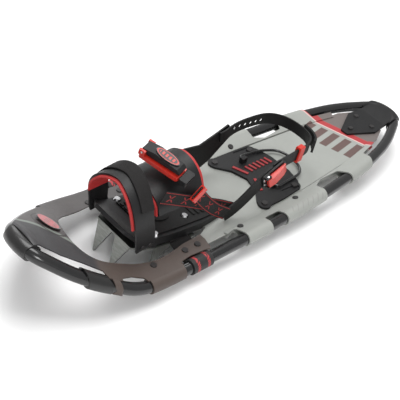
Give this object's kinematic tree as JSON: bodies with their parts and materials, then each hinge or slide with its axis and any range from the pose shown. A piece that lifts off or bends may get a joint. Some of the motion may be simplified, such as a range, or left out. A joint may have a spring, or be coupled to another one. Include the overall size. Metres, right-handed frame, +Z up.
{
  "type": "snowshoe",
  "caption": "Left-foot snowshoe with a bent tube frame, a two-tone sheet deck, a pivoting boot binding with cam buckles, steel crampons and a wire heel lifter.",
  "frame": {"origin": "under the middle of the shoe, on the ground that the crampon teeth touch", "axes": "+Y points to the toe, +X to the wearer's right, +Z up"},
  "size_m": [0.1994, 0.7624, 0.1537],
  "materials": {
    "tube": "gloss black powder coat",
    "gloss_black": "gloss black",
    "black_plastic": "satin black moulding",
    "black_rubber": "flexible black moulding",
    "deck_grey": "light warm grey sheet",
    "deck_brown": "charcoal and brown-grey sheet",
    "red_plastic": "red moulding",
    "crimson_rubber": "crimson rubber",
    "red_foam": "red foam lining",
    "webbing": "black webbing with red stitching",
    "crampon_steel": "dull steel",
    "bright_steel": "bright steel",
    "black_rivet": "black rivets",
    "lifter_wire": "black coated wire"
  },
  "bodies": {
    "shoe": {"frame_tube": "tube", "nose_cap": "gloss_black", "nose_collar": "gloss_black", "toe_strap_collars": "gloss_black", "rear_deck": "deck_grey", "front_deck": "deck_brown", "nose_emblem": "red_plastic", "front_deck_rivets": "black_rivet", "rear_deck_rivets": "black_rivet", "tail_cap": "black_plastic", "tail_cap_rivets": "black_rivet", "heel_plate": "black_plastic", "heel_plate_screws": "bright_steel", "heel_grip_bars": "crimson_rubber", "heel_crampon": "crampon_steel", "toe_strap_ends": "webbing"},
    "binding": {"toe_strap_core": "webbing", "binding_base": "black_plastic", "footbed_grip": "black_rubber", "base_screws": "bright_steel", "base_nuts": "bright_steel", "toe_crampon": "crampon_steel", "toe_arch": "black_plastic", "toe_lining": "red_foam", "toe_webbing": "webbing", "toe_arch_rivets": "bright_steel", "instep_shell": "black_plastic", "instep_pad": "red_foam", "lower_webbing": "webbing", "upper_webbing": "webbing", "instep_buckle": "red_plastic", "instep_lever_pin": "bright_steel", "strap_keeper": "black_plastic", "strap_slider": "red_plastic", "ankle_arm": "black_rubber", "near_arm": "black_rubber", "heel_strap": "black_rubber", "strap_tab": "black_rubber", "strap_clip": "red_plastic", "heel_buckle": "black_plastic", "heel_lever_pin": "bright_steel", "heel_buckle_rivets": "bright_steel"},
    "lifter": {"heel_lifter": "lifter_wire"},
    "instep_cam": {"instep_lever": "black_plastic", "lever_badge": "red_plastic"},
    "heel_cam": {"heel_lever": "red_plastic"}
  },
  "joints": [
    {"name": "binding_pivot", "type": "hinge", "parent": "shoe", "child": "binding", "pos_m": [0, 0.15, 0.03], "axis": [1, 0, 0], "range_deg": [-50, 0], "stiffness_Nm_per_rad": 0.5},
    {"name": "lifter_hinge", "type": "hinge", "parent": "shoe", "child": "lifter", "pos_m": [0, -0.05, 0.0364], "axis": [-1, 0, 0], "range_deg": [0, 100]},
    {"name": "instep_lever_hinge", "type": "hinge", "parent": "binding", "child": "instep_cam", "pos_m": [0.01875, 0.17453, 0.14663], "axis": [-0.2985, 0.9488, -0.1032], "range_deg": [0, 110]},
    {"name": "heel_lever_hinge", "type": "hinge", "parent": "binding", "child": "heel_cam", "pos_m": [-0.0602, 0.00469, 0.08008], "axis": [0, -0.4229, -0.9062], "range_deg": [0, 90]}
  ]
}
